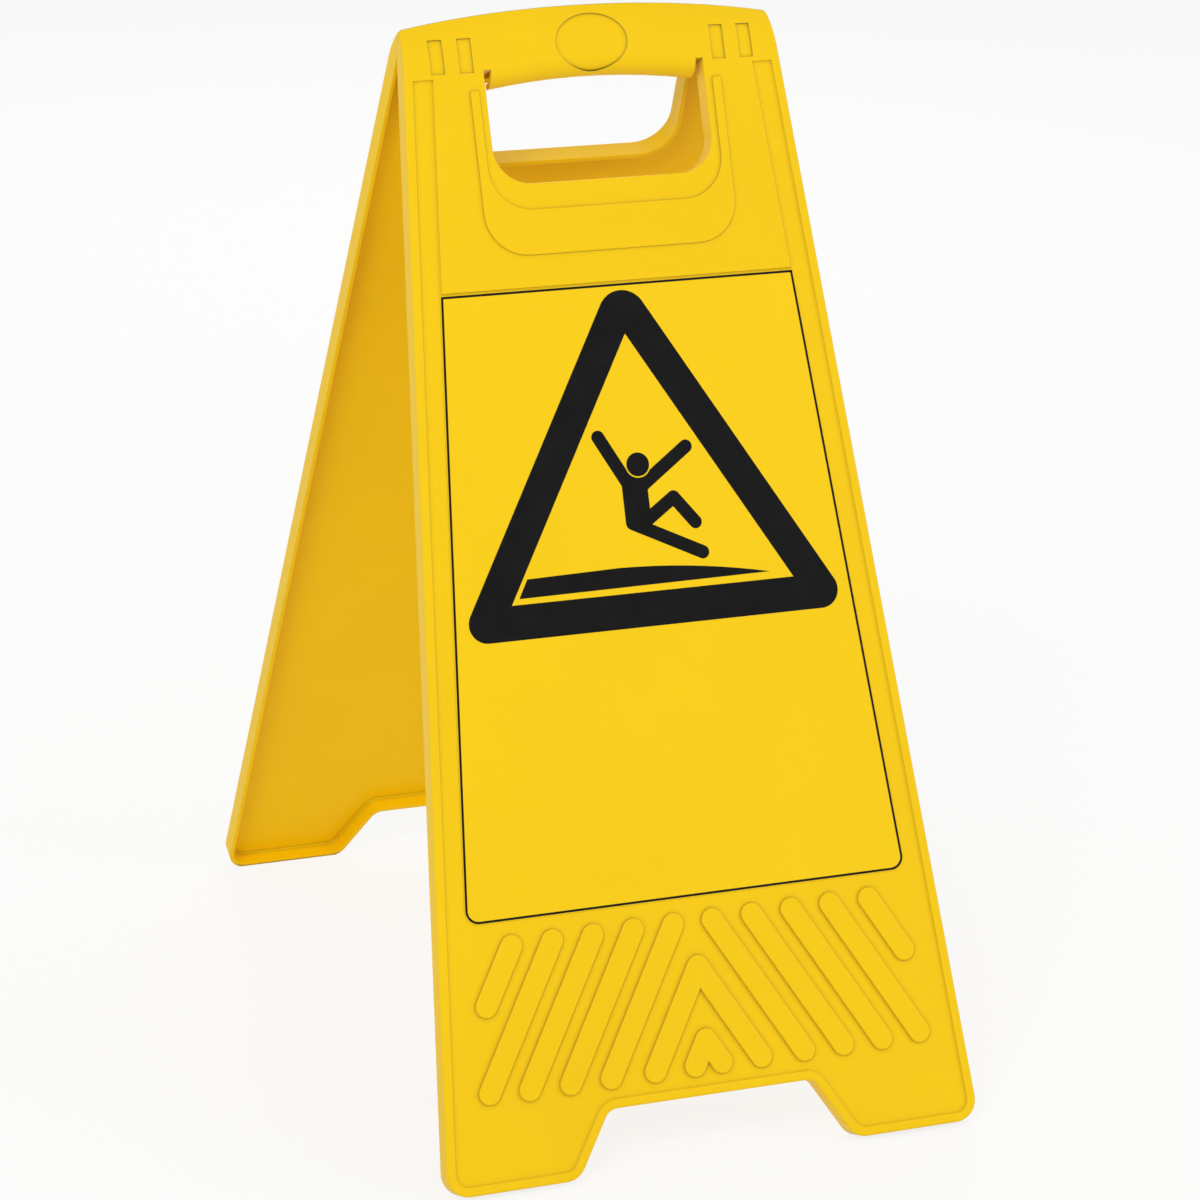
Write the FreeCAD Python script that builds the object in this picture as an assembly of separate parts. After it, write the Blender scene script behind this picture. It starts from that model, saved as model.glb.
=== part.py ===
import FreeCAD, Part
import math
import os

# Folding two-panel floor sign.  Two tray-like mouldings lean together as an "A".
# Each carries half of the carrying head, and they turn on two short hinge pins.
#
# A panel is built upright in its own directions and then leaned into place:
#   u  across the panel, 0 on its centre line
#   v  up the outer face, 0 at the bottom edge of the feet
#   n  inwards from the flat of the outer face
# The sign's frame has +X to the right, +Y to the back and +Z up, with the origin
# on the floor under the middle of the ridge.

# ---- overall sizes (mm, degrees) ----
BASE_WIDTH = 300.0          # across the outer corners of the feet
TOP_WIDTH = 206.0           # across the head, at the height of the ridge
PANEL_LENGTH = 616.0        # up the face, from the feet to the middle of the ridge
LEAN = 22.2                 # lean of each panel when the sign stands open

# ---- mouldings ----
FACE_WALL = 3.0
RIM_WALL = 2.5
RIM_DEPTH = 12.5            # from the outer face to the free edge of the rim
OUTER_EDGE_ROUND = 1.2
FREE_EDGE_ROUND = 0.5       # on the free edges of the rims
TRAY_FLOOR_ROUND = 1.0      # inside, where the face meets the rim
BORDER = 5.0                # flat border left round the recessed field
FIELD_RECESS = 1.0
RECESS_EDGE_ROUND = 0.4
RECESS_FLOOR_ROUND = 0.5
SOLE_TRIM = 1.0             # taken off the rim's corner, so the feet stand flat

# ---- feet ----
NOTCH_HEIGHT = 34.2
NOTCH_TOP_HALF = 57.5
NOTCH_FOOT_HALF = 77.9
NOTCH_TOP_ROUND = 8.0
FOOT_ROUND = 12.0

# ---- head ----
RIDGE_SETBACK = 3.8         # the ridge's distance behind the flat of the face
HEAD_ROUND = 35.0           # section radius of the head's shoulder
ARCH_DROP = 13.3            # fall of the shoulder line from the middle to the sides
HEAD_CORNER_ROUND = 5.0
HEAD_CORNER_RISE = 0.8      # the outline's upper corners above the ridge's ends
STOP_GAP = 0.2              # between the two half heads when the sign stands open
FOLD_GAP = 0.4              # between the two rims when the sign is folded

# ---- handle opening ----
HANDLE_DROP = 94.0          # from the ridge down to the bottom of the opening
HANDLE_ROUND = 20.0
HANDLE_EDGE_ROUND = 1.0     # where the face turns into the opening
SLIT_DROP = 33.0            # from the ridge down to the top of the slits
SLIT_WIDTH = 4.0            # between the end of the grip and the opening's side
GRIP_DROP = 37.0            # from the ridge down to the grip's lower edge
GRIP_ROUND = 10.0

# ---- band round the handle opening ----
BAND_GAP_SIDE = 4.0
BAND_LEG = 5.0
BAND_GAP_BELOW = 14.0
BAND_DEPTH = 24.0
BAND_ROUND = 23.0
BAND_TOP_DROP = 43.5
BAND_RAISE = 1.0
BAND_EDGE_ROUND = 0.6

# ---- tongues of the field beside the handle ----
TONGUE_INSET = 16.0
TONGUE_TOP_DROP = 36.5

# ---- roundel and shallow pockets on the head ----
POCKET_DEPTH = 0.8
ROUNDEL_HALF_WIDTH = 20.2
ROUNDEL_HALF_HEIGHT = 15.3
ROUNDEL_DROP = 20.5
POCKET_TOP_DROP = 15.3
POCKET_HEIGHT = 18.6

# ---- hinge ----
PIN_RADIUS = 2.5
PIN_CLEARANCE = 0.05
KNUCKLE_WALL = 2.5
KNUCKLE_WIDTH = 7.6
KNUCKLE_SIDE_GAP = 0.3
PIN_HEAD_RADIUS = 4.2
PIN_HEAD_THICK = 1.8
PIN_HEAD_GAP = 0.3
PIN_BARB_OVER = 0.55
PIN_BARB_LENGTH = 4.6
PIN_SLOT_WIDTH = 1.2
PIN_SLOT_LENGTH = 11.0
PIN_HEAD_CHAMFER = 0.6
PIN_BARB_LAND = 1.0
PIN_TIP_TAPER = 0.7         # how much slimmer the pin's tip is than its shaft
PIN_TIP_GAP = 5.5           # free room past the last knuckle and barb, up to the side rim
PIN_HEAD_ROOM = 3.0         # between the handle opening's rim and the first knuckle

# ---- ribs above the feet ----
RIB_RADIUS = 6.0
RIB_LEAN = 30.0
RIB_PITCH = 22.4
RIB_FIRST = 11.0
RIB_TOP = 125.5
RIB_BOTTOM = 50.2
RIB_EDGE_MARGIN = 20.0
RIB_RAISE = 1.5
RIB_EDGE_ROUND = 0.9
CHEVRON_DROP = 23.5

# ---- label and its printed border ----
LABEL_DROP = 150.0
LABEL_GAP = 1.0             # between the label's top edge and the recess's step
LABEL_BOTTOM = 138.5
LABEL_INSET = 15.3
LABEL_ROUND = 7.5
LABEL_THICK = 0.3
INK_THICK = 0.1
KEYLINE_INSET = 0.4
KEYLINE_WIDTH = 1.2

# ---- pictogram: a warning triangle round a slipping figure ----
# Drawn with the middle of the inner triangle's base at (0, 0), in a nominal size,
# and scaled so that the triangle keeps its margin to the label's edges.
TRIANGLE_SIDE = 158.0
TRIANGLE_BAND = 18.3
TRIANGLE_APEX_ROUND = 13.5
TRIANGLE_BASE_ROUND = 10.0
LIMB_RADIUS = 3.55
HEAD_CENTRE = (-1.2, 67.3)
HEAD_RADIUS = 6.3
NECK_GAP = 0.8
TORSO = ((-11.4, 36.5), (-11.4, 56.1), (-8.0, 65.2), (3.6, 63.4), (2.8, 54.0), (2.8, 39.2), (-7.7, 36.5))
LEFT_ARM = ((-8.1, 58.0), (-21.6, 83.4))
RIGHT_ARM = ((0.9, 56.7), (26.5, 74.6))
THIGH = ((-4.0, 34.6), (16.6, 48.4))
SHIN = ((16.6, 48.4), (27.3, 34.3))
LONG_LEG = ((-7.8, 36.6), (29.5, 18.0))
PUDDLE = ((-74.5, 3.1), (-69.0, 12.9), (-17.6, 13.9), (26.0, 10.9), (65.8, 4.1))
PICTOGRAM_DROP = 4.0        # from the label's top edge to the triangle's top
PICTOGRAM_MARGIN = 8.5      # beside the triangle's lower corners

# ---- worked out ----
SIN = math.sin(math.radians(LEAN))
COS = math.cos(math.radians(LEAN))
BASE_HALF = BASE_WIDTH / 2
TOP_HALF = TOP_WIDTH / 2
SIDE_SLOPE = (BASE_HALF - TOP_HALF) / PANEL_LENGTH
FOOT_Y = PANEL_LENGTH * SIN + RIDGE_SETBACK * COS
FACE_Z = RIM_DEPTH * SIN - SOLE_TRIM
SHOULDER_RISE = math.sqrt(HEAD_ROUND ** 2 - (HEAD_ROUND - RIDGE_SETBACK) ** 2)
SHOULDER_V = PANEL_LENGTH - SHOULDER_RISE
ARCH_RADIUS = (TOP_HALF ** 2 + ARCH_DROP ** 2) / (2 * ARCH_DROP)
ARCH_CENTRE_V = PANEL_LENGTH - ARCH_RADIUS
HINGE_N = RIM_DEPTH + FOLD_GAP / 2
HINGE_V = (FOOT_Y - HINGE_N * COS) / SIN
HINGE_Z = FACE_Z + HINGE_V * COS - HINGE_N * SIN
KNUCKLE_RADIUS = PIN_RADIUS + PIN_CLEARANCE + KNUCKLE_WALL
KNUCKLE_STEP = KNUCKLE_WIDTH + KNUCKLE_SIDE_GAP
KNUCKLE_END = TOP_HALF - RIM_WALL - PIN_BARB_LENGTH - PIN_TIP_GAP
KNUCKLE_START = KNUCKLE_END - 2 * KNUCKLE_STEP - KNUCKLE_WIDTH
HANDLE_HALF = KNUCKLE_START - PIN_HEAD_ROOM - RIM_WALL
HANDLE_BOTTOM = PANEL_LENGTH - HANDLE_DROP
SLIT_TOP = PANEL_LENGTH - SLIT_DROP
GRIP_HALF = HANDLE_HALF - SLIT_WIDTH
GRIP_EDGE = PANEL_LENGTH - GRIP_DROP
LABEL_TOP = PANEL_LENGTH - LABEL_DROP
BEYOND = 60.0               # how far the cutting shapes run past the panel
ARCH_REACH = 40.0           # degrees turned each way, well past the panel's sides
BISECTIONS = 50
TOUCH = 0.01                # closer than this, two places are the same


def at(u, v, n=0.0):
    return FreeCAD.Vector(u, n, v)


def half_width(v):
    return BASE_HALF - SIDE_SLOPE * v


def parting_depth(v):
    """How far in from the face's flat the parting plane lies, at a height."""
    return (FOOT_Y - v * SIN) / COS


def plate(face, n_from, n_to):
    """The flat face, made solid between two depths."""
    moved = face.translated(at(0, 0, n_from))
    return moved.extrude(at(0, 0, n_to - n_from))


def rounded_face(corners):
    """A flat face from (u, v, radius) corners, in order."""
    turns = []
    count = len(corners)
    for index, (u, v, radius) in enumerate(corners):
        here = at(u, v)
        back = at(*corners[index - 1][:2]) - here
        ahead = at(*corners[(index + 1) % count][:2]) - here
        back.normalize()
        ahead.normalize()
        half_angle = back.getAngle(ahead) / 2
        setback = radius / math.tan(half_angle)
        bisector = back + ahead
        bisector.normalize()
        middle = here + bisector * (radius / math.sin(half_angle) - radius)
        turns.append((here + back * setback, middle, here + ahead * setback, radius))
    edges = []
    for index, (start, middle, end, radius) in enumerate(turns):
        if radius > 0:
            edges.append(Part.Arc(start, middle, end).toShape())
        edges.append(Part.LineSegment(end, turns[(index + 1) % count][0]).toShape())
    return Part.Face(Part.Wire(edges))


def stadium(start, end, radius):
    """A flat strip with round ends between two (u, v) points."""
    first = at(*start)
    last = at(*end)
    along = last - first
    along.normalize()
    side = FreeCAD.Vector(-along.z, 0, along.x) * radius
    tip = along * radius
    edges = [
        Part.LineSegment(first + side, last + side).toShape(),
        Part.Arc(last + side, last + tip, last - side).toShape(),
        Part.LineSegment(last - side, first - side).toShape(),
        Part.Arc(first - side, first - tip, first + side).toShape(),
    ]
    return Part.Face(Part.Wire(edges))


def disc(u, v, radius):
    circle = Part.Circle(at(u, v), at(0, 0, 1), radius)
    return Part.Face(Part.Wire(circle.toShape()))


def both_sides(corners):
    """Right-hand corners, with their mirror images added on the left."""
    mirrored = [(-u, v, radius) for u, v, radius in reversed(corners)]
    return corners + mirrored


def mirrored_shape(shape):
    return shape.mirror(at(0, 0), at(1, 0))


def middle_of(edge):
    first, last = edge.ParameterRange
    return edge.valueAt((first + last) / 2)


def edges_at_depth(shape, depth):
    """The edges that lie wholly at one depth."""
    return [
        edge for edge in shape.Edges
        if abs(edge.BoundBox.YMin - depth) < TOUCH and abs(edge.BoundBox.YMax - depth) < TOUCH
    ]


def edges_along(shape, depth, wire):
    """The edges at one depth that follow a flat wire drawn at depth 0."""
    chosen = []
    for edge in edges_at_depth(shape, depth):
        middle = middle_of(edge)
        if Part.Vertex(at(middle.x, middle.z)).distToShape(wire)[0] < TOUCH:
            chosen.append(edge)
    return chosen


def arched(section):
    """Turns a section in the (n, v) plane about the head's arch axis."""
    centre = at(0, ARCH_CENTRE_V)
    turned = section.copy()
    turned.rotate(centre, at(0, 0, 1), -ARCH_REACH)
    return turned.revolve(centre, at(0, 0, 1), 2 * ARCH_REACH)


def ridge_height(u):
    """Where the head's outer surface meets the parting plane, as a v."""
    low = SHOULDER_V - ARCH_DROP
    high = PANEL_LENGTH + ARCH_DROP
    for _ in range(BISECTIONS):
        v = (low + high) / 2
        rise = math.hypot(u, v - ARCH_CENTRE_V) - (SHOULDER_V - ARCH_CENTRE_V)
        surface_n = HEAD_ROUND - math.sqrt(max(0.0, HEAD_ROUND ** 2 - max(0.0, rise) ** 2))
        if surface_n < parting_depth(v):
            low = v
        else:
            high = v
    return low


def above_head(inset):
    """Everything outside the head's rounded shoulder, moved in by the inset."""
    radius = HEAD_ROUND - inset
    centre = at(0, SHOULDER_V, HEAD_ROUND)
    start = at(0, SHOULDER_V, inset)
    slant = math.sqrt(0.5) * radius
    middle = centre + at(0, slant, -slant)
    top = centre + at(0, radius)
    rest = [
        top,
        top + at(0, 0, BEYOND),
        top + at(0, BEYOND, BEYOND),
        at(0, top.z + BEYOND, -BEYOND),
        at(0, SHOULDER_V, -BEYOND),
        start,
    ]
    edges = [Part.LineSegment(a, b).toShape() for a, b in zip(rest, rest[1:])]
    edges.append(Part.Arc(start, middle, top).toShape())
    return arched(Part.Face(Part.Wire(edges)))


def below_grip(inset):
    """Everything outside the grip's rolled edge, moved in by the inset."""
    radius = GRIP_ROUND - inset
    centre = at(0, GRIP_EDGE + GRIP_ROUND, GRIP_ROUND)
    start = centre + at(0, 0, -radius)
    slant = math.sqrt(0.5) * radius
    middle = centre + at(0, -slant, -slant)
    low = centre + at(0, -radius)
    rest = [
        low,
        low + at(0, 0, BEYOND),
        low + at(0, -BEYOND, BEYOND),
        at(0, low.z - BEYOND, -BEYOND),
        at(0, start.z, -BEYOND),
        start,
    ]
    edges = [Part.LineSegment(a, b).toShape() for a, b in zip(rest, rest[1:])]
    edges.append(Part.Arc(start, middle, low).toShape())
    return arched(Part.Face(Part.Wire(edges))).common(grip_window(HANDLE_BOTTOM))


def outline_corners():
    """The panel's outline, with its foot notch.  Its top runs just above the arched
    ridge, and the head is trimmed down from it later."""
    corner_v = ridge_height(TOP_HALF) + HEAD_CORNER_RISE
    right = [
        (NOTCH_TOP_HALF, NOTCH_HEIGHT, NOTCH_TOP_ROUND),
        (NOTCH_FOOT_HALF, 0.0, FOOT_ROUND),
        (BASE_HALF, 0.0, FOOT_ROUND),
        (half_width(corner_v), corner_v, HEAD_CORNER_ROUND),
    ]
    left = [(-u, v, radius) for u, v, radius in reversed(right)]
    return right + [(0.0, PANEL_LENGTH + ARCH_DROP, 0.0)] + left


def inset_face(face, distance):
    return face.makeOffset2D(-distance)


def beyond_parting(gap):
    """The space on the far side of the parting plane, in the panel's directions."""
    block = Part.makeBox(2 * BASE_WIDTH, BEYOND * 2, BEYOND * 4)
    block.translate(FreeCAD.Vector(-BASE_WIDTH, -gap, HINGE_Z - 3 * BEYOND))
    block.translate(FreeCAD.Vector(0, FOOT_Y, -FACE_Z))
    block.rotate(FreeCAD.Vector(), FreeCAD.Vector(1, 0, 0), LEAN)
    return block


def on_parting(point):
    """Whether a point lies on the face where the two half heads meet."""
    return abs(point.y - parting_depth(point.z) + STOP_GAP / (2 * COS)) < TOUCH


def side_edges(block, outline):
    """The edges where the face and the shoulder meet the sides."""
    chosen = []
    for edge in block.Edges:
        first, last = edge.ParameterRange
        start = edge.valueAt(first)
        end = edge.valueAt(last)
        middle = middle_of(edge)
        on_outline = Part.Vertex(at(middle.x, middle.z)).distToShape(outline.OuterWire)[0] < TOUCH
        runs_inwards = math.hypot(end.x - start.x, end.z - start.z) < TOUCH
        free = middle.y > RIM_DEPTH - TOUCH
        if on_outline and not (runs_inwards or free or on_parting(middle)):
            chosen.append(edge)
    return chosen


def shell(outline):
    """The tray: face, rim and half head, open at the back."""
    block = plate(outline, 0, RIM_DEPTH).cut(above_head(0))
    block = block.cut(beyond_parting(STOP_GAP / 2))
    block = block.makeFillet(OUTER_EDGE_ROUND, side_edges(block, outline))
    inner = inset_face(outline, RIM_WALL)
    hollow = plate(inner, FACE_WALL, BEYOND).cut(above_head(FACE_WALL))
    hollow = hollow.makeFillet(TRAY_FLOOR_ROUND, edges_along(hollow, FACE_WALL, inner.OuterWire))
    tray = block.cut(hollow)
    return tray.makeFillet(FREE_EDGE_ROUND, edges_at_depth(tray, RIM_DEPTH))


def field_face(outline):
    """The recessed field: inside the border, with a tongue up each side of the handle."""
    field = inset_face(outline, BORDER)
    top = PANEL_LENGTH - TONGUE_TOP_DROP
    low = LABEL_TOP + LABEL_GAP
    above = rounded_face(both_sides([(BASE_WIDTH, top, 0.0), (BASE_WIDTH, 2 * PANEL_LENGTH, 0.0)]))
    between = rounded_face(both_sides([
        (half_width(low) - TONGUE_INSET, low, 0.0),
        (half_width(top) - TONGUE_INSET, top, 0.0),
    ]))
    return field.cut(above).cut(between).Faces[0]


def recess_field(panel, outline):
    """Sinks the field into the face, with soft edges."""
    field = field_face(outline)
    tool = plate(field, -BEYOND, FIELD_RECESS)
    tool = tool.makeFillet(RECESS_FLOOR_ROUND, edges_at_depth(tool, FIELD_RECESS))
    panel = panel.cut(tool)
    return panel.makeFillet(RECESS_EDGE_ROUND, edges_along(panel, 0.0, field.OuterWire))


def handle_face(grow):
    """The handle opening's shape, grown outwards by a margin."""
    return rounded_face(both_sides([
        (HANDLE_HALF + grow, HANDLE_BOTTOM - grow, HANDLE_ROUND + grow),
        (HANDLE_HALF + grow, SLIT_TOP + grow, 0.0),
    ]))


def grip_window(low):
    """The block of space over the opening that the grip's rolled edge lies in."""
    face = rounded_face(both_sides([(GRIP_HALF, low, 0.0), (GRIP_HALF, PANEL_LENGTH, 0.0)]))
    return plate(face, -BEYOND, BEYOND)


def cut_handle(panel):
    """The handle opening with its rim, and the room for the grip's rolled edge."""
    opening = handle_face(0)
    collar = plate(handle_face(RIM_WALL), 0, RIM_DEPTH).cut(plate(opening, -BEYOND, BEYOND))
    collar = collar.makeFillet(FREE_EDGE_ROUND, edges_at_depth(collar, RIM_DEPTH))
    panel = panel.cut(plate(opening, -BEYOND, BEYOND)).fuse(collar)
    panel = panel.makeFillet(HANDLE_EDGE_ROUND, edges_along(panel, 0.0, opening.OuterWire))
    low = HANDLE_BOTTOM + HANDLE_ROUND
    high = GRIP_EDGE + GRIP_ROUND
    room = Part.Face(Part.makePolygon([
        at(0, low - ARCH_DROP, -BEYOND),
        at(0, high, -BEYOND),
        at(0, high, BEYOND),
        at(0, low - ARCH_DROP, BEYOND),
        at(0, low - ARCH_DROP, -BEYOND),
    ]))
    return panel.cut(grip_window(low).common(arched(room)))


def grip():
    """The rolled lower edge of the carrying bar, arched like the ridge."""
    inner = GRIP_ROUND - FACE_WALL
    centre = at(0, GRIP_EDGE + GRIP_ROUND, GRIP_ROUND)
    slant = math.sqrt(0.5)
    outer_low = at(0, GRIP_EDGE, RIM_DEPTH)
    inner_low = at(0, GRIP_EDGE + FACE_WALL, RIM_DEPTH)
    edges = [
        Part.Arc(
            centre + at(0, 0, -GRIP_ROUND),
            centre + at(0, -GRIP_ROUND * slant, -GRIP_ROUND * slant),
            centre + at(0, -GRIP_ROUND),
        ).toShape(),
        Part.LineSegment(centre + at(0, -GRIP_ROUND), outer_low).toShape(),
        Part.LineSegment(outer_low, inner_low).toShape(),
        Part.LineSegment(inner_low, centre + at(0, -inner)).toShape(),
        Part.Arc(
            centre + at(0, -inner),
            centre + at(0, -inner * slant, -inner * slant),
            centre + at(0, 0, -inner),
        ).toShape(),
        Part.LineSegment(centre + at(0, 0, -inner), centre + at(0, 0, -GRIP_ROUND)).toShape(),
    ]
    return arched(Part.Face(Part.Wire(edges))).common(grip_window(HANDLE_BOTTOM))


def rounded_pad(face, n_base, n_top, edge_round):
    """A raised pad whose top edges are rounded."""
    pad = plate(face, n_base, n_top)
    return pad.makeFillet(edge_round, edges_at_depth(pad, n_top))


def handle_band():
    """The raised band round the sides and bottom of the handle opening."""
    inner = HANDLE_HALF + BAND_GAP_SIDE
    top = PANEL_LENGTH - BAND_TOP_DROP
    face = rounded_face(both_sides([
        (inner + BAND_LEG, HANDLE_BOTTOM - BAND_GAP_BELOW - BAND_DEPTH, BAND_ROUND),
        (inner + BAND_LEG, top, 0.0),
        (inner, top, 0.0),
        (inner, HANDLE_BOTTOM - BAND_GAP_BELOW, BAND_ROUND),
    ]))
    return rounded_pad(face, FACE_WALL / 2, -BAND_RAISE, BAND_EDGE_ROUND)


def head_skin():
    """The outermost layer of the head and its grip, as deep as the pockets."""
    head = rounded_face(both_sides([(TOP_WIDTH, HANDLE_BOTTOM, 0.0), (TOP_WIDTH, 2 * PANEL_LENGTH, 0.0)]))
    inside = plate(head, POCKET_DEPTH, 2 * BEYOND)
    inside = inside.cut(above_head(POCKET_DEPTH)).cut(below_grip(POCKET_DEPTH))
    return plate(head, -BEYOND, BEYOND).cut(inside)


def pocket_prisms():
    """The roundel in the middle of the head and the four shallow pockets over the knuckles."""
    ellipse = Part.Ellipse(at(0, 0), ROUNDEL_HALF_WIDTH, ROUNDEL_HALF_HEIGHT)
    face = Part.Face(Part.Wire(ellipse.toShape()))
    face.rotate(FreeCAD.Vector(), FreeCAD.Vector(1, 0, 0), 90)
    face.translate(at(0, PANEL_LENGTH - ROUNDEL_DROP))
    prisms = [plate(face, -BEYOND, BEYOND)]
    low = PANEL_LENGTH - POCKET_TOP_DROP - POCKET_HEIGHT
    for step in (0, 2):
        near = at(KNUCKLE_START + step * KNUCKLE_STEP, low, -BEYOND)
        window = Part.makeBox(KNUCKLE_WIDTH, 2 * BEYOND, POCKET_HEIGHT, near)
        prisms += [window, mirrored_shape(window)]
    return prisms


def cut_pockets(panel):
    skin = head_skin()
    for prism in pocket_prisms():
        panel = panel.cut(prism.common(skin))
    return panel


def rib_lines():
    """Centre lines of the leaning ribs on the right-hand side, from top to bottom."""
    lean = math.tan(math.radians(RIB_LEAN))
    limit = BASE_HALF - BORDER - RIB_EDGE_MARGIN
    lines = []
    top_u = RIB_FIRST
    while True:
        edge_v = (top_u + RIB_TOP * lean - limit) / (lean - SIDE_SLOPE)
        bottom_v = max(RIB_BOTTOM, edge_v)
        if RIB_TOP - bottom_v < 2 * RIB_RADIUS:
            return lines
        lines.append(((top_u, RIB_TOP), (top_u + (RIB_TOP - bottom_v) * lean, bottom_v)))
        top_u += RIB_PITCH


def chevron_lines():
    """Centre lines of the upside-down V ribs between the leaning ones, right-hand halves."""
    lean = math.tan(math.radians(RIB_LEAN))
    lines = []
    apex = RIB_TOP - CHEVRON_DROP
    while apex - RIB_BOTTOM > RIB_RADIUS:
        lines.append(((0.0, apex), ((apex - RIB_BOTTOM) * lean, RIB_BOTTOM)))
        apex -= RIB_PITCH / lean
    return lines


def mirrored_line(line):
    return tuple((-u, v) for u, v in line)


def rib_faces():
    """The plan shapes of all the ribs."""
    faces = []
    for line in rib_lines():
        faces.append(stadium(*line, RIB_RADIUS))
        faces.append(stadium(*mirrored_line(line), RIB_RADIUS))
    for line in chevron_lines():
        pair = stadium(*line, RIB_RADIUS).fuse(stadium(*mirrored_line(line), RIB_RADIUS))
        faces.append(pair.removeSplitter().Faces[0])
    return faces


def add_ribs(panel):
    """Ribs standing up from the recessed field."""
    for face in rib_faces():
        panel = panel.fuse(rounded_pad(face, FACE_WALL, FIELD_RECESS - RIB_RAISE, RIB_EDGE_ROUND))
    return panel


def knuckle(near, bore):
    """One hinge knuckle on its web, at a distance from the centre line."""
    barrel = Part.makeCylinder(KNUCKLE_RADIUS, KNUCKLE_WIDTH, at(near, HINGE_V, HINGE_N), at(1, 0))
    root = at(near, HINGE_V - KNUCKLE_RADIUS, FACE_WALL / 2)
    web = Part.makeBox(KNUCKLE_WIDTH, HINGE_N - FACE_WALL / 2, 2 * KNUCKLE_RADIUS, root)
    hole = Part.makeCylinder(bore, 3 * KNUCKLE_WIDTH, at(near - KNUCKLE_WIDTH, HINGE_V, HINGE_N), at(1, 0))
    return barrel.fuse(web).cut(hole)


def add_knuckles(panel, steps):
    """Knuckles on both sides, one for each step along the pin."""
    trim = above_head(FACE_WALL / 2)
    for step in steps:
        piece = knuckle(KNUCKLE_START + step * KNUCKLE_STEP, PIN_RADIUS + PIN_CLEARANCE).cut(trim)
        panel = panel.fuse(piece).fuse(mirrored_shape(piece))
    return panel


def lean_forward(shape):
    """From a panel's own directions to its place at the front of the standing sign."""
    placed = shape.copy()
    placed.rotate(FreeCAD.Vector(), FreeCAD.Vector(1, 0, 0), -LEAN)
    placed.translate(FreeCAD.Vector(0, -FOOT_Y, FACE_Z))
    return placed


def to_back(shape):
    """The same thing on the back panel."""
    turned = shape.copy()
    turned.rotate(FreeCAD.Vector(), FreeCAD.Vector(0, 0, 1), 180)
    return turned


def trim_soles(shape):
    """Cuts the feet off level with the floor."""
    corner = FreeCAD.Vector(-BASE_WIDTH, -2 * FOOT_Y, -BEYOND)
    return shape.cut(Part.makeBox(2 * BASE_WIDTH, 4 * FOOT_Y, BEYOND, corner))


def make_panel(knuckle_steps):
    outline = rounded_face(outline_corners())
    panel = shell(outline)
    panel = cut_handle(panel)
    panel = panel.fuse(grip())
    panel = recess_field(panel, outline)
    panel = panel.fuse(handle_band())
    panel = cut_pockets(panel)
    panel = add_ribs(panel)
    panel = add_knuckles(panel, knuckle_steps)
    return trim_soles(lean_forward(panel.removeSplitter()))


def label_face(inset):
    """The label's shape, drawn in by an inset all round."""
    top = LABEL_TOP - inset
    bottom = LABEL_BOTTOM + inset
    return rounded_face(both_sides([
        (half_width(bottom) - LABEL_INSET - inset, bottom, max(LABEL_ROUND - inset, 0.0)),
        (half_width(top) - LABEL_INSET - inset, top, 0.0),
    ]))


def make_label():
    return plate(label_face(0), FIELD_RECESS - LABEL_THICK, FIELD_RECESS)


def printed(face):
    """A film of ink on the label."""
    outer = FIELD_RECESS - LABEL_THICK
    return plate(face, outer - INK_THICK, outer)


def make_keyline():
    outside = printed(label_face(KEYLINE_INSET))
    return outside.cut(printed(label_face(KEYLINE_INSET + KEYLINE_WIDTH)))


def triangle_face(grow, apex_round, base_round):
    """The inner triangle, grown outwards by a margin."""
    half = TRIANGLE_SIDE / 2 + grow * math.sqrt(3)
    apex = TRIANGLE_SIDE * math.sqrt(3) / 2 + 2 * grow
    return rounded_face([(half, -grow, base_round), (0.0, apex, apex_round), (-half, -grow, base_round)])


def figure_body_face():
    """The slipping figure without its head, in one piece."""
    limbs = [stadium(*line, LIMB_RADIUS) for line in (LEFT_ARM, RIGHT_ARM, THIGH, SHIN, LONG_LEG)]
    torso = rounded_face([(u, v, 0.0) for u, v in TORSO])
    body = torso.multiFuse(limbs).removeSplitter()
    return body.cut(disc(*HEAD_CENTRE, HEAD_RADIUS + NECK_GAP))


def puddle_face():
    """The slippery patch: a long wedge with a curved top."""
    heel, shoulder, crest, slope, tip = [at(*point) for point in PUDDLE]
    edges = [
        Part.LineSegment(heel, shoulder).toShape(),
        Part.LineSegment(shoulder, crest).toShape(),
        Part.Arc(crest, slope, tip).toShape(),
        Part.LineSegment(tip, heel).toShape(),
    ]
    return Part.Face(Part.Wire(edges))


def pictogram_place():
    """The scale that keeps the triangle's margins on the label, and its base line's height."""
    apex = TRIANGLE_SIDE * math.sqrt(3) / 2 + 2 * TRIANGLE_BAND - TRIANGLE_APEX_ROUND
    corner = TRIANGLE_SIDE / 2 + TRIANGLE_BAND * math.sqrt(3) - TRIANGLE_BASE_ROUND * (math.sqrt(3) - 1)
    top = LABEL_TOP - PICTOGRAM_DROP
    room_at_top = half_width(top) - LABEL_INSET - PICTOGRAM_MARGIN
    scale = room_at_top / (corner - SIDE_SLOPE * (apex + TRIANGLE_BAND - TRIANGLE_BASE_ROUND))
    return scale, top - apex * scale


def make_pictogram():
    band = triangle_face(TRIANGLE_BAND, TRIANGLE_APEX_ROUND, TRIANGLE_BASE_ROUND)
    band = band.cut(triangle_face(0.0, 0.0, 0.0))
    head = disc(*HEAD_CENTRE, HEAD_RADIUS)
    scale, base_v = pictogram_place()
    solids = []
    for face in (band, puddle_face(), figure_body_face(), head):
        placed = face.copy()
        placed.scale(scale)
        placed.translate(at(0, base_v))
        solids += printed(placed).Solids
    return Part.makeCompound(solids)


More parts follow.
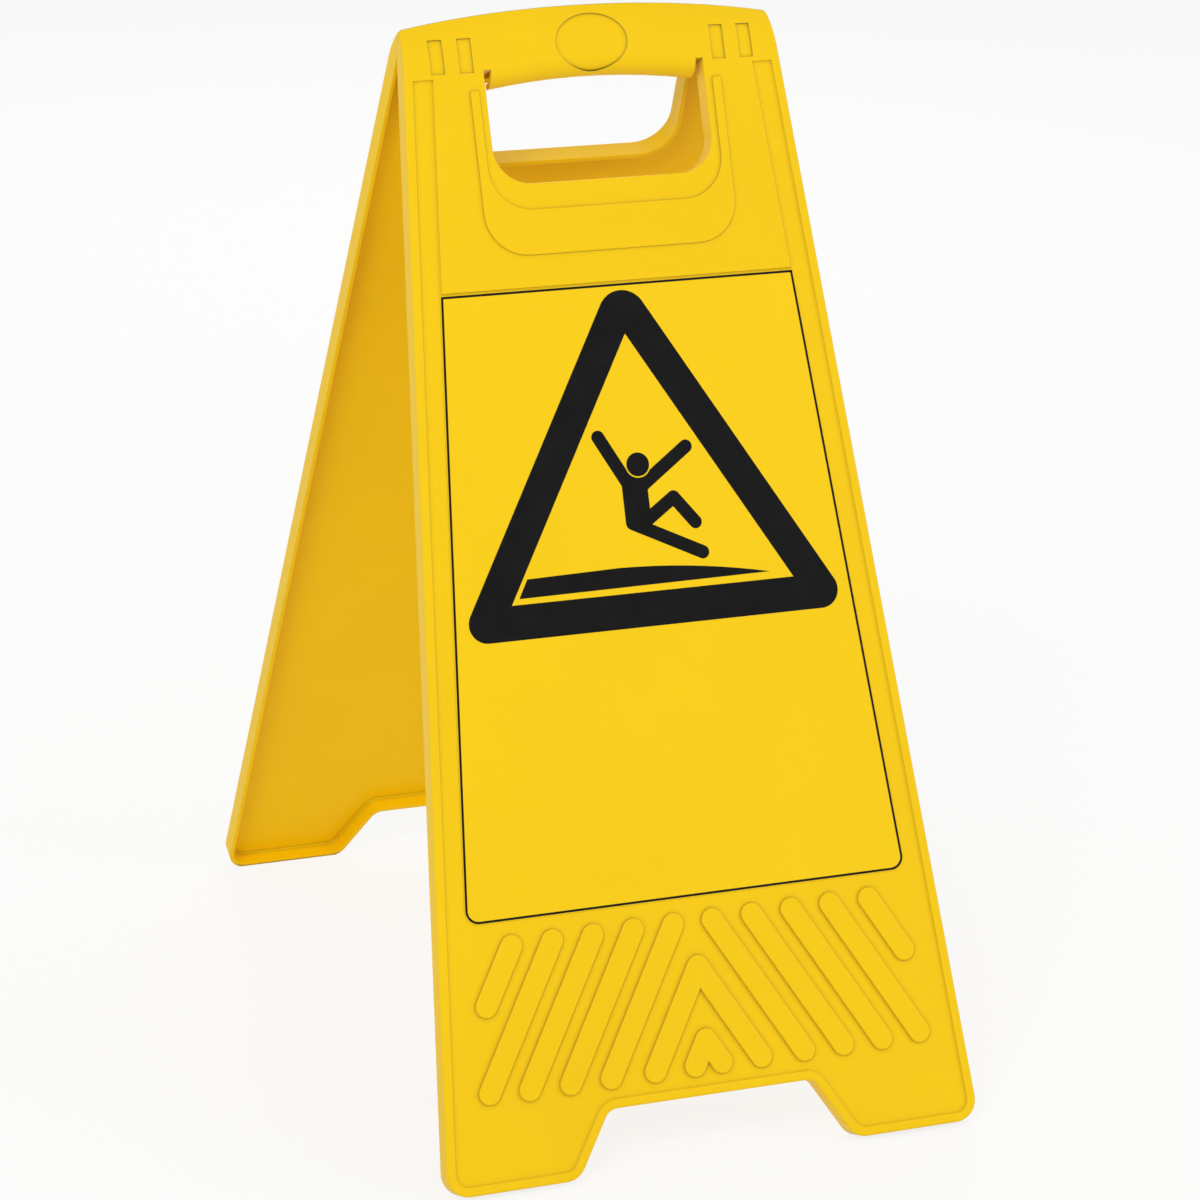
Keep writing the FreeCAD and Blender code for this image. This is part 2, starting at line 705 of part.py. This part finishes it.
def make_pin():
    """A headed hinge pin with a split, barbed tip, on the right-hand side."""
    head_at = -PIN_HEAD_GAP
    barb_at = KNUCKLE_END - KNUCKLE_START + PIN_HEAD_GAP
    tip_at = barb_at + PIN_BARB_LENGTH
    barb = PIN_RADIUS + PIN_BARB_OVER
    profile = [
        (head_at - PIN_HEAD_THICK, 0.0),
        (head_at - PIN_HEAD_THICK, PIN_HEAD_RADIUS - PIN_HEAD_CHAMFER),
        (head_at - PIN_HEAD_THICK + PIN_HEAD_CHAMFER, PIN_HEAD_RADIUS),
        (head_at, PIN_HEAD_RADIUS),
        (head_at, PIN_RADIUS),
        (barb_at, PIN_RADIUS),
        (barb_at, barb),
        (barb_at + PIN_BARB_LAND, barb),
        (tip_at, PIN_RADIUS - PIN_TIP_TAPER),
        (tip_at, 0.0),
    ]
    points = [at(u, 0, n) for u, n in profile]
    section = Part.Face(Part.makePolygon(points + points[:1]))
    pin = section.revolve(at(0, 0), at(1, 0), 360)
    slot_corner = at(tip_at - PIN_SLOT_LENGTH, -PIN_SLOT_WIDTH / 2, -2 * barb)
    pin = pin.cut(Part.makeBox(2 * PIN_SLOT_LENGTH, 4 * barb, PIN_SLOT_WIDTH, slot_corner))
    pin.translate(at(KNUCKLE_START, HINGE_V, HINGE_N))
    return pin


def write(name, shape):
    shape.exportStep("parts/" + name + ".step")
    print(name, len(shape.Solids), "solids", round(shape.Volume / 1000, 2), "cm3", shape.isValid())


def main():
    os.makedirs("parts", exist_ok=True)
    write("front_panel", make_panel((0, 2)))
    write("rear_panel", to_back(make_panel((1,))))
    pin = make_pin()
    write("hinge_pin_right", lean_forward(pin))
    write("hinge_pin_left", lean_forward(mirrored_shape(pin)))
    prints = {"label": make_label(), "label_border": make_keyline(), "pictogram": make_pictogram()}
    for name, shape in prints.items():
        placed = lean_forward(shape)
        write("front_" + name, placed)
        write("rear_" + name, to_back(placed))


main()
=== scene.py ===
import math

import bpy
from bpy.props import FloatProperty, PointerProperty, StringProperty
from mathutils import Matrix, Vector


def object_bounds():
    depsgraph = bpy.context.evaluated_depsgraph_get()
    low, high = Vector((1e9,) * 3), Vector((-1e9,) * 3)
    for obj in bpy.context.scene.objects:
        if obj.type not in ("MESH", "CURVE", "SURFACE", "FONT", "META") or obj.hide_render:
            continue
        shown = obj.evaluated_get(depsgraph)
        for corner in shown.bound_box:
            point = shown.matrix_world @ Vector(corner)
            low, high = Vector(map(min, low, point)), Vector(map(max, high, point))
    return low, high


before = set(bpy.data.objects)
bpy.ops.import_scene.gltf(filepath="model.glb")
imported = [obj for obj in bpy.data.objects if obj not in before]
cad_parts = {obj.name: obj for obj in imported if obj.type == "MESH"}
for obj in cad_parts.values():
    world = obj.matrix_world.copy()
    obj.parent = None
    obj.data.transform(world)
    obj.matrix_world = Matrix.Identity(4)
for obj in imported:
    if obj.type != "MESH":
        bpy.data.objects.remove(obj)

bl_info = {
    "name": "Folding floor sign",
    "version": (1, 0, 0),
    "blender": (4, 5, 0),
    "location": "View3D > Sidebar > Floor Sign",
    "description": "Finishes a folding two-panel floor sign: moulded panels, printed labels and a studio",
    "category": "Object",
}

CAD_BOX = [list(corner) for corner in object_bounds()]
MM = 0.001

# ---- plastic ----
# paler edge colour: a painted highlight on the edges, which also stands for edge wear
EDGE_WEAR_AND_HIGHLIGHT = "#FFE27A"
SCUFF = "#FFDE4A"
# painted shade: the olive that darkens corners and creases
PAINTED_CREVICE_SHADE = "#A8940E"
CREVICE_SHADE_REACH = 3.2 * MM          # how far from a corner the painted shade lies
FLOW_PATCH = 110 * MM           # clouding where the melt flowed
EDGE_WEAR_AND_HIGHLIGHT_PATCH = 9 * MM
SCUFF_WIDTH = 1.1 * MM
SCUFF_TILT = math.radians(35)
GRAIN_DEPTH = 0.05 * MM
EDGE_SHARP = 0.80               # likeness of the soft and true normals at an edge
EDGE_FLAT = 0.985               # and away from it
EDGE_SAMPLES = 6
PLASTIC_IOR = 1.49
SATIN_SPECULAR = 0.22

# ---- label and print ----
WORN_INK = "#101010"
VINYL_PATCH = 70 * MM
SQUEEGEE_RIPPLE = 3.0 * MM
RIPPLE_DEPTH = 0.03 * MM
INK_WEAR_PATCH = 14 * MM
INK_TOOTH = 1.2 * MM
TOOTH_DEPTH = 0.02 * MM
VINYL_IOR = 1.5
INK_ROUGHNESS = 0.52
INK_SPECULAR = 0.12

# ---- studio ----
AMBIENT = 0.62                  # the even light that the white surroundings give the sign
FLOOR_GLOW = 0.82               # share of the floor seen as plain white
LAMPS = (                       # name, place, diameter, watts, colour
    ("key", (-1.6, -2.0, 2.3), 1.3, 30.0, "#FFFDF8"),
    ("fill", (2.2, -1.4, 1.3), 1.6, 12.0, "#FFFFFF"),
    ("back", (0.6, 2.2, 1.8), 1.2, 14.0, "#FFFFFF"),
)
CAMERA_PLACE = (-0.680, -1.9418, 0.9638)
CAMERA_YAW = math.radians(19.64)
CAMERA_PITCH = math.radians(-19.47)
CAMERA_ROLL = math.radians(0.77)
SENSOR_WIDTH = 36.0
CLIP_END = 50.0


# ---------------------------------------------------------------- settings

class SignFinish(bpy.types.PropertyGroup):
    plastic: StringProperty(
        name="Plastic",
        description="sRGB hex colour of the moulded polypropylene",
        default="#FACE00",
    )
    label: StringProperty(
        name="Label",
        description="sRGB hex colour of the vinyl label",
        default="#FBD004",
    )
    ink: StringProperty(
        name="Ink",
        description="sRGB hex colour of the screen print",
        default="#060607",
    )
    grain_pitch: FloatProperty(
        name="Mould grain",
        description="Spacing of the fine spark-eroded grain on the panels",
        default=0.9 * MM,
        min=0.1 * MM,
        subtype="DISTANCE",
        unit="LENGTH",
    )
    edge_round: FloatProperty(
        name="Edge round",
        description="How far in from its edges the plastic catches the light and is rubbed",
        default=0.6 * MM,
        min=0.0,
        subtype="DISTANCE",
        unit="LENGTH",
    )


class SignStudio(bpy.types.PropertyGroup):
    backdrop: StringProperty(
        name="Backdrop",
        description="sRGB hex colour of the floor under the sign",
        default="#F4F4F2",
    )
    floor_size: FloatProperty(
        name="Floor size",
        description="Side of the square floor",
        default=12.0,
        min=1.0,
        subtype="DISTANCE",
        unit="LENGTH",
    )
    lens: FloatProperty(
        name="Lens",
        description="Focal length on a 36 mm sensor",
        default=116.73,
        min=10.0,
        subtype="DISTANCE_CAMERA",
        unit="CAMERA",
    )


# ---------------------------------------------------------------- helpers

def srgb(code):
    """An sRGB hex colour as linear RGBA."""
    channels = []
    for start in (1, 3, 5):
        value = int(code[start:start + 2], 16) / 255
        channels.append(value / 12.92 if value <= 0.04045 else ((value + 0.055) / 1.055) ** 2.4)
    return (*channels, 1.0)


def add_node(tree, kind, settings=None, inputs=None, links=None, stops=None):
    """Adds a shader node, sets its properties, sockets and colour stops, and links its inputs."""
    node = tree.nodes.new(kind)
    for name, value in (settings or {}).items():
        setattr(node, name, value)
    for name, value in (inputs or {}).items():
        node.inputs[name].default_value = value
    for name, socket in (links or {}).items():
        tree.links.new(socket, node.inputs[name])
    if stops:
        elements = node.color_ramp.elements
        elements[0].position, elements[0].color = stops[0]
        elements[1].position, elements[1].color = stops[-1]
        for position, colour in stops[1:-1]:
            elements.new(position).color = colour
    return node


def new_material(name):
    """An empty node material with its output."""
    material = bpy.data.materials.new(name)
    material.use_nodes = True
    material.node_tree.nodes.clear()
    output = add_node(material.node_tree, "ShaderNodeOutputMaterial")
    return material, material.node_tree, output


def grey(value):
    """A linear grey as RGBA."""
    return (value, value, value, 1.0)


# ---------------------------------------------------------------- materials

def per(size):
    """The texture scale at which one cell is this many metres across."""
    return 1.0 / size


def fine_relief(tree, place, size, depth, strength, normal=None):
    """A shallow random relief with cells of one size, as a normal."""
    cells = add_node(
        tree, "ShaderNodeTexNoise",
        inputs={"Scale": per(size), "Detail": 2.0, "Roughness": 0.6},
        links={"Vector": place},
    ).outputs["Fac"]
    links = {"Height": cells}
    if normal is not None:
        links["Normal"] = normal
    return add_node(
        tree, "ShaderNodeBump",
        inputs={"Strength": strength, "Distance": depth},
        links=links,
    ).outputs["Normal"]


def soft_edges(tree, radius):
    """A normal that turns softly over the sharp edges, and how near an edge it is."""
    bevel = add_node(
        tree, "ShaderNodeBevel",
        settings={"samples": EDGE_SAMPLES},
        inputs={"Radius": radius},
    ).outputs["Normal"]
    true_normal = add_node(tree, "ShaderNodeNewGeometry").outputs["Normal"]
    likeness = add_node(
        tree, "ShaderNodeVectorMath",
        settings={"operation": "DOT_PRODUCT"},
        links={0: bevel, 1: true_normal},
    ).outputs["Value"]
    edge = add_node(
        tree, "ShaderNodeValToRGB",
        links={"Fac": likeness},
        stops=[(EDGE_SHARP, grey(1.0)), (EDGE_FLAT, grey(0.0))],
    ).outputs["Color"]
    return bevel, edge


def moulded_polypropylene(name, colour, grain_pitch, edge_round):
    """Injection-moulded polypropylene with a spark-eroded grain: an even satin yellow,
    clouded a little where the melt flowed, paler on its edges with a painted highlight and wear there,
    with fine scuffs and painted shade in its corners."""
    material, tree, output = new_material(name)
    place = add_node(tree, "ShaderNodeTexCoord").outputs["Object"]
    base = srgb(colour)
    flow = add_node(
        tree, "ShaderNodeTexNoise",
        inputs={"Scale": per(FLOW_PATCH), "Detail": 3.0, "Roughness": 0.5},
        links={"Vector": place},
    ).outputs["Fac"]
    pigment = add_node(
        tree, "ShaderNodeValToRGB",
        links={"Fac": flow},
        stops=[(0.3, (base[0] * 0.97, base[1] * 0.96, base[2], 1.0)), (0.7, base)],
    ).outputs["Color"]
    bevel, edge = soft_edges(tree, edge_round)
    # painted highlight and wear: a paler yellow near the sharp edges, broken into patches
    wear_and_highlight_patches = add_node(
        tree, "ShaderNodeTexNoise",
        inputs={"Scale": per(EDGE_WEAR_AND_HIGHLIGHT_PATCH), "Detail": 3.0, "Roughness": 0.65},
        links={"Vector": place},
    ).outputs["Fac"]
    patchy = add_node(
        tree, "ShaderNodeValToRGB",
        links={"Fac": wear_and_highlight_patches},
        stops=[(0.35, grey(0.15)), (0.7, grey(0.75))],
    ).outputs["Color"]
    wear_and_highlight = add_node(
        tree, "ShaderNodeMath",
        settings={"operation": "MULTIPLY"},
        links={0: edge, 1: patchy},
    ).outputs["Value"]
    worn_and_highlit = add_node(
        tree, "ShaderNodeMix",
        settings={"data_type": "RGBA"},
        inputs={"B": srgb(EDGE_WEAR_AND_HIGHLIGHT)},
        links={"A": pigment, "Factor": wear_and_highlight},
    ).outputs["Result"]

    stretched = add_node(
        tree, "ShaderNodeMapping",
        inputs={"Rotation": (0.0, SCUFF_TILT, 0.0), "Scale": (1.0, 1.0, 0.06)},
        links={"Vector": place},
    ).outputs["Vector"]
    streaks = add_node(
        tree, "ShaderNodeTexNoise",
        inputs={"Scale": per(SCUFF_WIDTH), "Detail": 2.0, "Roughness": 0.5},
        links={"Vector": stretched},
    ).outputs["Fac"]
    scuffs = add_node(
        tree, "ShaderNodeValToRGB",
        links={"Fac": streaks},
        stops=[(0.70, grey(0.0)), (0.80, grey(0.30))],
    ).outputs["Color"]
    scuffed = add_node(
        tree, "ShaderNodeMix",
        settings={"data_type": "RGBA"},
        inputs={"B": srgb(SCUFF)},
        links={"A": worn_and_highlit, "Factor": scuffs},
    ).outputs["Result"]

    # painted shade: darker olive where the ambient occlusion finds a corner or crease
    crevice = add_node(
        tree, "ShaderNodeAmbientOcclusion",
        settings={"samples": EDGE_SAMPLES},
        inputs={"Distance": CREVICE_SHADE_REACH},
    ).outputs["AO"]
    crevice_shade_mask = add_node(
        tree, "ShaderNodeValToRGB",
        links={"Fac": crevice},
        stops=[(0.30, grey(1.0)), (0.95, grey(0.0))],
    ).outputs["Color"]
    crevice_shaded = add_node(
        tree, "ShaderNodeMix",
        settings={"data_type": "RGBA"},
        inputs={"B": srgb(PAINTED_CREVICE_SHADE)},
        links={"A": scuffed, "Factor": crevice_shade_mask},
    ).outputs["Result"]

    gloss = add_node(
        tree, "ShaderNodeMapRange",
        inputs={"From Min": 0.3, "From Max": 0.7, "To Min": 0.40, "To Max": 0.50},
        links={"Value": flow},
    ).outputs["Result"]
    roughness = add_node(
        tree, "ShaderNodeMath",
        settings={"operation": "MULTIPLY_ADD"},
        inputs={1: 0.25},
        links={0: scuffs, 2: gloss},
    ).outputs["Value"]
    # the real grain is about 0.1 mm; it is drawn coarser so that it shows
    grain = fine_relief(tree, place, grain_pitch, GRAIN_DEPTH, 0.25, bevel)
    surface = add_node(
        tree, "ShaderNodeBsdfPrincipled",
        inputs={"IOR": PLASTIC_IOR, "Metallic": 0.0, "Specular IOR Level": SATIN_SPECULAR},
        links={"Base Color": crevice_shaded, "Roughness": roughness, "Normal": grain},
    ).outputs["BSDF"]
    tree.links.new(surface, output.inputs["Surface"])
    return material


def laminated_vinyl(name, colour):
    """Calendered vinyl film under a satin laminate: smoother than the plastic round it,
    with a faint ripple from the squeegee that laid it."""
    material, tree, output = new_material(name)
    place = add_node(tree, "ShaderNodeTexCoord").outputs["Object"]
    base = srgb(colour)
    tone = add_node(
        tree, "ShaderNodeTexNoise",
        inputs={"Scale": per(VINYL_PATCH), "Detail": 2.0},
        links={"Vector": place},
    ).outputs["Fac"]
    film = add_node(
        tree, "ShaderNodeValToRGB",
        links={"Fac": tone},
        stops=[(0.35, (base[0] * 0.985, base[1] * 0.98, base[2], 1.0)), (0.65, base)],
    ).outputs["Color"]
    gloss = add_node(
        tree, "ShaderNodeMapRange",
        inputs={"From Min": 0.3, "From Max": 0.7, "To Min": 0.34, "To Max": 0.42},
        links={"Value": tone},
    ).outputs["Result"]
    surface = add_node(
        tree, "ShaderNodeBsdfPrincipled",
        inputs={"IOR": VINYL_IOR, "Specular IOR Level": SATIN_SPECULAR},
        links={
            "Base Color": film,
            "Roughness": gloss,
            "Normal": fine_relief(tree, place, SQUEEGEE_RIPPLE, RIPPLE_DEPTH, 0.15),
        },
    ).outputs["BSDF"]
    tree.links.new(surface, output.inputs["Surface"])
    return material


def screen_print_ink(name, colour):
    """Screen-printed vinyl ink: a dense, nearly matt black with the mesh's faint tooth
    and slightly worn patches."""
    material, tree, output = new_material(name)
    place = add_node(tree, "ShaderNodeTexCoord").outputs["Object"]
    base = srgb(colour)
    wear = add_node(
        tree, "ShaderNodeTexNoise",
        inputs={"Scale": per(INK_WEAR_PATCH), "Detail": 4.0, "Roughness": 0.6},
        links={"Vector": place},
    ).outputs["Fac"]
    black = add_node(
        tree, "ShaderNodeValToRGB",
        links={"Fac": wear},
        stops=[(0.4, base), (0.75, srgb(WORN_INK))],
    ).outputs["Color"]
    surface = add_node(
        tree, "ShaderNodeBsdfPrincipled",
        inputs={"IOR": VINYL_IOR, "Roughness": INK_ROUGHNESS, "Specular IOR Level": INK_SPECULAR},
        links={
            "Base Color": black,
            "Normal": fine_relief(tree, place, INK_TOOTH, TOOTH_DEPTH, 0.1),
        },
    ).outputs["BSDF"]
    tree.links.new(surface, output.inputs["Surface"])
    return material


def studio_white(name, colour):
    """Matt painted studio floor: seen directly or in a reflection it is white paper,
    and it still takes the sign's soft shadow."""
    material, tree, output = new_material(name)
    path = add_node(tree, "ShaderNodeLightPath").outputs
    seen = add_node(
        tree, "ShaderNodeMath",
        settings={"operation": "ADD", "use_clamp": True},
        links={0: path["Is Camera Ray"], 1: path["Is Glossy Ray"]},
    ).outputs["Value"]
    seen = add_node(
        tree, "ShaderNodeMath",
        settings={"operation": "ADD", "use_clamp": True},
        links={0: seen, 1: path["Is Transmission Ray"]},
    ).outputs["Value"]
    share = add_node(
        tree, "ShaderNodeMath",
        settings={"operation": "MULTIPLY"},
        inputs={1: FLOOR_GLOW},
        links={0: seen},
    ).outputs["Value"]
    paint = add_node(
        tree, "ShaderNodeBsdfDiffuse",
        inputs={"Color": srgb(colour)},
    ).outputs["BSDF"]
    glow = add_node(
        tree, "ShaderNodeEmission",
        inputs={"Color": grey(1.0), "Strength": 1.0},
    ).outputs["Emission"]
    mixed = add_node(
        tree, "ShaderNodeMixShader",
        links={0: share, 1: paint, 2: glow},
    ).outputs["Shader"]
    tree.links.new(mixed, output.inputs["Surface"])
    return material


# ---------------------------------------------------------------- pieces

def dress(node_name, material):
    """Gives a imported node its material."""
    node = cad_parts[node_name]
    node.data.materials.clear()
    node.data.materials.append(material)
    return node


class SIGN_OT_panels(bpy.types.Operator):
    """Finish the two moulded panels"""
    bl_idname = "floor_sign.panels"
    bl_label = "Finish panels"

    def execute(self, context):
        finish = context.scene.floor_sign_finish
        plastic = moulded_polypropylene(
            "moulded_polypropylene", finish.plastic, finish.grain_pitch, finish.edge_round,
        )
        for name in ("front_panel", "rear_panel"):
            dress(name, plastic)
        return {"FINISHED"}


class SIGN_OT_hinge_pins(bpy.types.Operator):
    """Finish the two hinge pins"""
    bl_idname = "floor_sign.hinge_pins"
    bl_label = "Finish hinge pins"

    def execute(self, context):
        finish = context.scene.floor_sign_finish
        plastic = moulded_polypropylene(
            "moulded_pin_polypropylene", finish.plastic, finish.grain_pitch, finish.edge_round / 2,
        )
        for name in ("hinge_pin_left", "hinge_pin_right"):
            dress(name, plastic)
        return {"FINISHED"}


class SIGN_OT_labels(bpy.types.Operator):
    """Finish the labels and their print"""
    bl_idname = "floor_sign.labels"
    bl_label = "Finish labels"

    def execute(self, context):
        finish = context.scene.floor_sign_finish
        vinyl = laminated_vinyl("laminated_vinyl", finish.label)
        ink = screen_print_ink("screen_print_ink", finish.ink)
        for side in ("front", "rear"):
            dress(side + "_label", vinyl)
            dress(side + "_label_border", ink)
            dress(side + "_pictogram", ink)
        return {"FINISHED"}


# ---------------------------------------------------------------- studio

def add_area_light(name, place, target, size, power, colour):
    """A round soft lamp that faces a target."""
    light = bpy.data.lights.new(name, "AREA")
    light.shape = "DISK"
    light.size = size
    light.energy = power
    light.color = srgb(colour)[:3]
    lamp = bpy.data.objects.new(name, light)
    lamp.location = place
    lamp.rotation_euler = (Vector(target) - Vector(place)).to_track_quat("-Z", "Y").to_euler()
    bpy.context.scene.collection.objects.link(lamp)


def white_world(ambient):
    """White where it is seen, and a soft even light on the sign."""
    world = bpy.data.worlds.new("studio_world")
    bpy.context.scene.world = world
    world.use_nodes = True
    tree = world.node_tree
    tree.nodes.clear()
    output = add_node(tree, "ShaderNodeOutputWorld")
    path = add_node(tree, "ShaderNodeLightPath").outputs
    seen = add_node(
        tree, "ShaderNodeMath",
        settings={"operation": "ADD", "use_clamp": True},
        links={0: path["Is Camera Ray"], 1: path["Is Glossy Ray"]},
    ).outputs["Value"]
    seen = add_node(
        tree, "ShaderNodeMath",
        settings={"operation": "ADD", "use_clamp": True},
        links={0: seen, 1: path["Is Transmission Ray"]},
    ).outputs["Value"]
    strength = add_node(
        tree, "ShaderNodeMapRange",
        inputs={"To Min": ambient, "To Max": 1.0},
        links={"Value": seen},
    ).outputs["Result"]
    background = add_node(
        tree, "ShaderNodeBackground",
        inputs={"Color": grey(1.0)},
        links={"Strength": strength},
    ).outputs["Background"]
    tree.links.new(background, output.inputs["Surface"])


class SIGN_OT_studio(bpy.types.Operator):
    """Build the floor, lights and camera"""
    bl_idname = "floor_sign.studio"
    bl_label = "Build studio"

    def execute(self, context):
        studio = context.scene.floor_sign_studio
        half = studio.floor_size / 2
        mesh = bpy.data.meshes.new("floor")
        corners = [(-half, -half, 0), (half, -half, 0), (half, half, 0), (-half, half, 0)]
        mesh.from_pydata(corners, [], [(0, 1, 2, 3)])
        mesh.materials.append(studio_white("matt_studio_floor", studio.backdrop))
        floor = bpy.data.objects.new("floor", mesh)
        context.scene.collection.objects.link(floor)

        white_world(AMBIENT)
        low, high = [Vector(corner) for corner in CAD_BOX]
        middle = (low + high) / 2
        for name, place, size, power, colour in LAMPS:
            add_area_light(name, place, middle, size, power, colour)

        camera_data = bpy.data.cameras.new("camera")
        camera_data.sensor_width = SENSOR_WIDTH
        camera_data.lens = studio.lens
        camera_data.clip_end = CLIP_END
        camera = bpy.data.objects.new("camera", camera_data)
        level = math.cos(CAMERA_PITCH)
        forward = Vector((
            math.sin(CAMERA_YAW) * level,
            math.cos(CAMERA_YAW) * level,
            math.sin(CAMERA_PITCH),
        ))
        right = Vector((math.cos(CAMERA_YAW), -math.sin(CAMERA_YAW), 0.0))
        up = right.cross(forward)
        turned_right = right * math.cos(CAMERA_ROLL) + up * math.sin(CAMERA_ROLL)
        turned_up = up * math.cos(CAMERA_ROLL) - right * math.sin(CAMERA_ROLL)
        axes = Matrix((turned_right, turned_up, -forward)).transposed()
        camera.matrix_world = Matrix.Translation(CAMERA_PLACE) @ axes.to_4x4()
        context.scene.collection.objects.link(camera)
        context.scene.camera = camera
        context.scene.view_settings.view_transform = "Standard"
        return {"FINISHED"}


class SIGN_PT_panel(bpy.types.Panel):
    """Lists the sign's pieces and settings"""
    bl_idname = "SIGN_PT_panel"
    bl_label = "Folding floor sign"
    bl_space_type = "VIEW_3D"
    bl_region_type = "UI"
    bl_category = "Floor Sign"

    def draw(self, context):
        layout = self.layout
        for settings in (context.scene.floor_sign_finish, context.scene.floor_sign_studio):
            for name in settings.__annotations__:
                layout.prop(settings, name)
        for operator in STEPS:
            layout.operator(operator.bl_idname)


STEPS = (SIGN_OT_panels, SIGN_OT_hinge_pins, SIGN_OT_labels, SIGN_OT_studio)
CLASSES = (SignFinish, SignStudio) + STEPS + (SIGN_PT_panel,)


def register():
    for cls in CLASSES:
        bpy.utils.register_class(cls)
    bpy.types.Scene.floor_sign_finish = PointerProperty(type=SignFinish)
    bpy.types.Scene.floor_sign_studio = PointerProperty(type=SignStudio)


def unregister():
    del bpy.types.Scene.floor_sign_studio
    del bpy.types.Scene.floor_sign_finish
    for cls in reversed(CLASSES):
        bpy.utils.unregister_class(cls)


def main():
    register()
    bpy.ops.floor_sign.panels()
    bpy.ops.floor_sign.hinge_pins()
    bpy.ops.floor_sign.labels()
    bpy.ops.floor_sign.studio()


if __name__ == "__main__":
    main()
